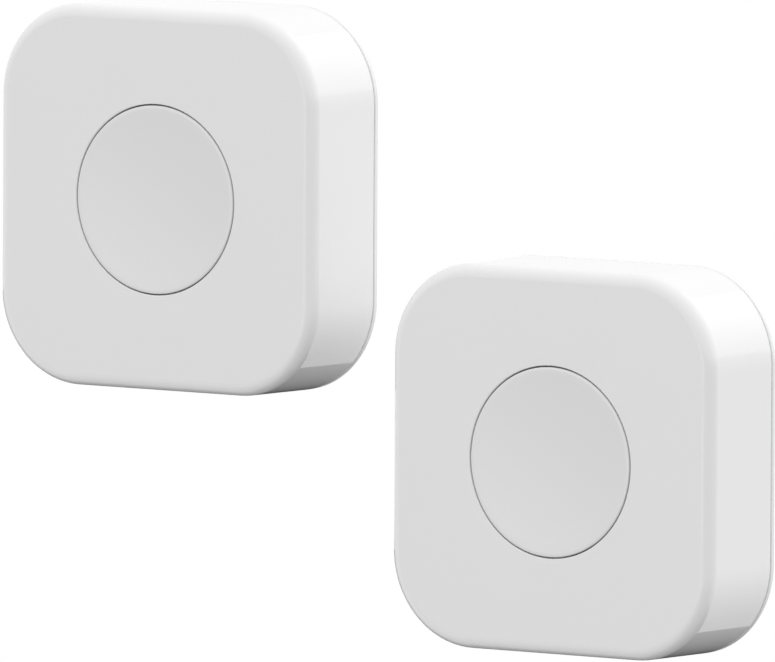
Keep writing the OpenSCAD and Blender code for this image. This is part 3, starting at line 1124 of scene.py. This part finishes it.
def circuit(name, mask, copper):
    """Solder mask over copper: groups of tracks at right angles, ground areas and small vias."""
    material, tree = started(name)
    block_scale, track_scale, via_scale = 210.0, 1700.0, 330.0
    tracked_share, bare_share, gap_share = 0.45, 0.22, 0.55
    via_r, ring_r = 0.11, 0.2
    tin = (0.62, 0.6, 0.55)
    x, z = (tree.node("ShaderNodeSeparateXYZ", None, {0: tree.place()}, axis) for axis in "XZ")
    blocks = tree.node(
        "ShaderNodeTexVoronoi", {"distance": "CHEBYCHEV"},
        {"Vector": tree.place(), "Scale": block_scale}, "Color",
    )
    choice, width = (
        tree.node("ShaderNodeSeparateColor", None, {0: blocks}, part) for part in ("Red", "Green")
    )
    across = tree.pick(choice > 0.5, x, z)
    stripe = tree.node(
        "ShaderNodeMath", {"operation": "PINGPONG"}, {0: across * track_scale, 1: 1.0}
    )
    tracks = tree.pick(width > tracked_share, stripe > gap_share, width > bare_share)
    dots = tree.cells(via_scale)
    via = dots < via_r
    pattern = tree.clamp(tracks + (dots < ring_r))
    dim_mask = tuple(0.86 * part for part in mask)
    mottled = tree.blend(tree.noise(300.0, 3.0), dim_mask, mask)
    tracked = tree.blend(pattern, mottled, copper)
    return finished(material, tree, {
        "Base Color": tree.blend(via, tracked, tin),
        "Metallic": via * 0.9,
        "Roughness": 0.32 + (tree.noise(700.0) - 0.5) * 0.12,
        "Normal": tree.bump(pattern, 0.35, 0.00003),
    })


def clear_glass(name):
    """Thin greenish glass with drawn streaks."""
    material, tree = started(name)
    streaks = tree.noise(500.0, 2.0)
    return finished(material, tree, {
        "Base Color": tree.blend(streaks, (0.5, 0.8, 0.6), (0.62, 0.88, 0.7)),
        "Roughness": 0.03 + streaks * 0.03,
        "IOR": 1.5,
        "Transmission Weight": 0.82,
        "Normal": tree.bump(streaks, 0.05, 0.00002),
    })


def ceramic(name):
    """Fired ceramic with a fine speckle."""
    material, tree = started(name)
    speck = tree.noise(2600.0, 3.0)
    tones = [(0.3, (0.22, 0.15, 0.1)), (0.7, (0.36, 0.27, 0.19))]
    tone = tree.node("ShaderNodeValToRGB", {"stops": tones}, {"Fac": speck})
    return finished(material, tree, {
        "Base Color": tone,
        "Roughness": 0.42 + (speck - 0.5) * 0.2,
        "Normal": tree.bump(speck, 0.2, 0.00003),
    })


def lens(name):
    """Milky resin with a faint warm core."""
    material, tree = started(name)
    core = tree.cells(900.0)
    return finished(material, tree, {
        "Base Color": tree.blend(core, (0.86, 0.84, 0.62), (0.93, 0.93, 0.88)),
        "Roughness": 0.2 + tree.noise(1500.0) * 0.1,
        "Transmission Weight": 0.25,
    })


def all_materials():
    """Every finish, by the short name that the pieces use."""
    return {
        "gloss": plastic(
            "white_gloss_moulding", pale=(0.832, 0.832, 0.832), deep=(0.828, 0.828, 0.828),
            rough=0.05, spread=0.03, grain=700.0, depth=0.0000008,
        ),
        "cap": plastic(
            "white_cap_moulding", pale=(0.793, 0.793, 0.793), deep=(0.789, 0.789, 0.789),
            rough=0.1, spread=0.04, grain=1200.0, depth=0.000001,
        ),
        "satin": plastic(
            "white_satin_moulding", pale=(0.83, 0.83, 0.825), deep=(0.81, 0.81, 0.805),
            rough=0.42, spread=0.12, grain=5200.0, depth=0.00002,
        ),
        "grey": plastic(
            "grey_moulding", pale=(0.3, 0.31, 0.32), deep=(0.27, 0.28, 0.29),
            rough=0.45, spread=0.15, grain=4800.0, depth=0.00003,
        ),
        "black": plastic(
            "black_moulding", pale=(0.03, 0.03, 0.032), deep=(0.022, 0.022, 0.024),
            rough=0.4, spread=0.15, grain=4800.0, depth=0.00003,
        ),
        "cream": plastic(
            "cream_moulding", pale=(0.72, 0.66, 0.52), deep=(0.66, 0.6, 0.47),
            rough=0.35, spread=0.1, grain=4200.0, depth=0.00002,
        ),
        "tape": foam("white_foam", (0.82, 0.82, 0.79), (0.62, 0.62, 0.6), 2600.0),
        "foam": foam("dark_foam", (0.07, 0.07, 0.075), (0.015, 0.015, 0.017), 2200.0),
        "zinc": metal("zinc_plate", (0.68, 0.68, 0.7), (0.55, 0.55, 0.58), 0.3, 0.15),
        "tin": metal("tin_plate", (0.78, 0.78, 0.78), (0.66, 0.66, 0.67), 0.28, 0.12),
        "spring": metal("spring_sheet", (0.62, 0.61, 0.59), (0.52, 0.51, 0.5), 0.24, 0.12),
        "gold": metal("gold_plate", (0.93, 0.72, 0.36), (0.85, 0.62, 0.28), 0.26, 0.1),
        "nickel": metal("nickel_plate", (0.7, 0.68, 0.64), (0.6, 0.585, 0.55), 0.2, 0.1),
        "cell": cell_metal("rolled_steel"),
        "board": circuit("green_mask", (0.012, 0.105, 0.05), (0.025, 0.19, 0.085)),
        "radio": circuit("blue_mask", (0.012, 0.04, 0.13), (0.025, 0.08, 0.22)),
        "glass": clear_glass("drawn_glass"),
        "chips": ceramic("fired_ceramic"),
        "led": lens("milky_resin"),
    }


def dress(materials):
    """Gives the CAD nodes that stay their finishes."""
    finishes = {
        "sensor_pcb_screws": "zinc",
        "magnet_carrier_screws": "zinc",
        "switch_body": "black",
        "switch_terminals": "tin",
        "switch_cover": "spring",
        "switch_plunger": "cream",
        "radio_board": "radio",
        "radio_shield": "tin",
        "status_led": "led",
        "board_passives": "chips",
        "positive_contact": "spring",
        "negative_contact": "spring",
    }
    for node, finish in finishes.items():
        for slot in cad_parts[node].material_slots:
            slot.material = materials[finish]


# Studio


def studio_light():
    """Large soft boxes all round, over a dark field that shades the lower edges."""
    world = bpy.data.worlds.new("studio")
    bpy.context.scene.world = world
    tree = Tree(world)
    way = tree.node("ShaderNodeTexCoord", output="Generated")
    x, y, z = (tree.node("ShaderNodeSeparateXYZ", None, {0: way}, axis) for axis in "XYZ")
    level = box_levels(tree, x, y, z)
    field = 0.02
    level = tree.pick(dark_field(tree, x, y, z), field, level)
    direct = tree.node("ShaderNodeLightPath", output="Is Camera Ray")
    through = tree.node("ShaderNodeLightPath", output="Is Transmission Ray")
    level = tree.pick(tree.clamp(direct + through), 1.0, level)
    light = tree.node("ShaderNodeBackground", None, {"Color": (1, 1, 1), "Strength": level})
    tree.node("ShaderNodeOutputWorld", None, {"Surface": light})


def box_levels(tree, x, y, z):
    """Brightness of the soft boxes in three tiers, each split right from left and front from back."""
    right = x > 0
    behind = y > 0

    def by_side(back_right, back_left, front_right, front_left):
        back = tree.pick(right, back_right, back_left)
        front = tree.pick(right, front_right, front_left)
        return tree.pick(behind, back, front)

    overhead, upper, far_right, far_left = 0.85, 0.1, 0.86, -0.7
    lowest_behind, lowest_in_front = -0.168, -0.26
    high_tier = by_side(back_right=1.67, back_left=0.97, front_right=1.15, front_left=1.04)
    high_tier = tree.pick(z > overhead, 1.06, high_tier)
    faded = 0.1 + 1.4 * tree.clamp((x + z) * 4.5 + 3.3)
    faded = tree.pick(x < far_left, 0.85, faded)
    middle_tier = by_side(back_right=1.04, back_left=1.05, front_right=0.55, front_left=faded)
    middle_tier = tree.pick(x > far_right, 0.52, middle_tier)
    low_tier = tree.pick(behind, 1.14, tree.pick(right, 0.35, 1.0))
    under = z < tree.pick(behind, lowest_behind, lowest_in_front)
    return tree.pick(z > upper, high_tier, tree.pick(under, low_tier, middle_tier))


def dark_field(tree, x, y, z):
    """Mask of the unlit part: low down behind on the left, deep down behind, and straight below."""
    low_left = (z < -0.1) * ((x + 0.5 * z) < -0.302)
    deep = z < -0.6
    well_behind = y > 0.05
    below = z < -0.93
    return tree.clamp(tree.clamp(low_left + deep) * well_behind + below)


def floor():
    """A plain pale floor well below the object, which can be seen through from underneath."""
    low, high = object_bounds()
    middle = (low + high) / 2
    drop = 0.3
    reach = 0.6
    bm = bmesh.new()
    bmesh.ops.create_circle(bm, cap_ends=True, radius=reach, segments=96)
    bmesh.ops.translate(bm, vec=(middle.x, middle.y, low.z - drop), verts=bm.verts[:])
    for face in bm.faces:
        if face.normal.z < 0:
            face.normal_flip()
    mesh = bpy.data.meshes.new("floor")
    bm.to_mesh(mesh)
    bm.free()
    material, tree = started("pale_floor")
    pale = {"Base Color": (0.9, 0.9, 0.9), "Roughness": 0.9}
    paint = tree.node("ShaderNodeBsdfPrincipled", None, pale)
    clear = tree.node("ShaderNodeBsdfTransparent")
    underneath = tree.node("ShaderNodeNewGeometry", output="Backfacing")
    surface = tree.node("ShaderNodeMixShader", None, {0: underneath, 1: paint, 2: clear})
    tree.node("ShaderNodeOutputMaterial", None, {"Surface": surface})
    mesh.materials.append(material)
    made = bpy.data.objects.new("floor", mesh)
    bpy.context.scene.collection.objects.link(made)
    made.visible_diffuse = False
    made.visible_glossy = False
    made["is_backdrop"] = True


def camera():
    """A long lens at the viewing angle, moved sideways and down to frame the pair."""
    distance = 3.0
    azimuth, elevation, roll = (math.radians(part) for part in (34.293, 5.235, 0.317))
    right_by, up_by = 0.01992, -0.01622
    half_width = 0.045584
    back = Vector((
        math.sin(azimuth) * math.cos(elevation),
        -math.cos(azimuth) * math.cos(elevation),
        math.sin(elevation),
    ))
    right = Vector((0, 0, 1)).cross(back).normalized()
    up = back.cross(right)
    spot = back * distance + right * right_by + up * up_by
    rolled = right * math.cos(roll) + up * math.sin(roll)
    upright = up * math.cos(roll) - right * math.sin(roll)
    data = bpy.data.cameras.new("camera")
    data.sensor_width = 36.0
    data.lens = data.sensor_width / 2 * distance / half_width
    data.clip_start = 0.1
    data.clip_end = 10.0
    made = bpy.data.objects.new("camera", data)
    bpy.context.scene.collection.objects.link(made)
    axes = Matrix((rolled, upright, back)).transposed()
    made.matrix_world = Matrix.Translation(spot) @ axes.to_4x4()
    bpy.context.scene.camera = made


def build():
    """The room, every piece and every finish."""
    camera()
    studio_light()
    floor()
    materials = all_materials()
    sensor_shell(materials)
    magnet_shell(materials)
    caps(materials)
    bases(materials)
    tapes(materials)
    board(materials)
    reed(materials)
    coin_cell(materials)
    holder(materials)
    switch_dome(materials)
    carrier(materials)
    magnet(materials)
    cap_foam(materials)
    dress(materials)
    bpy.context.scene.view_settings.view_transform = "Standard"


build()
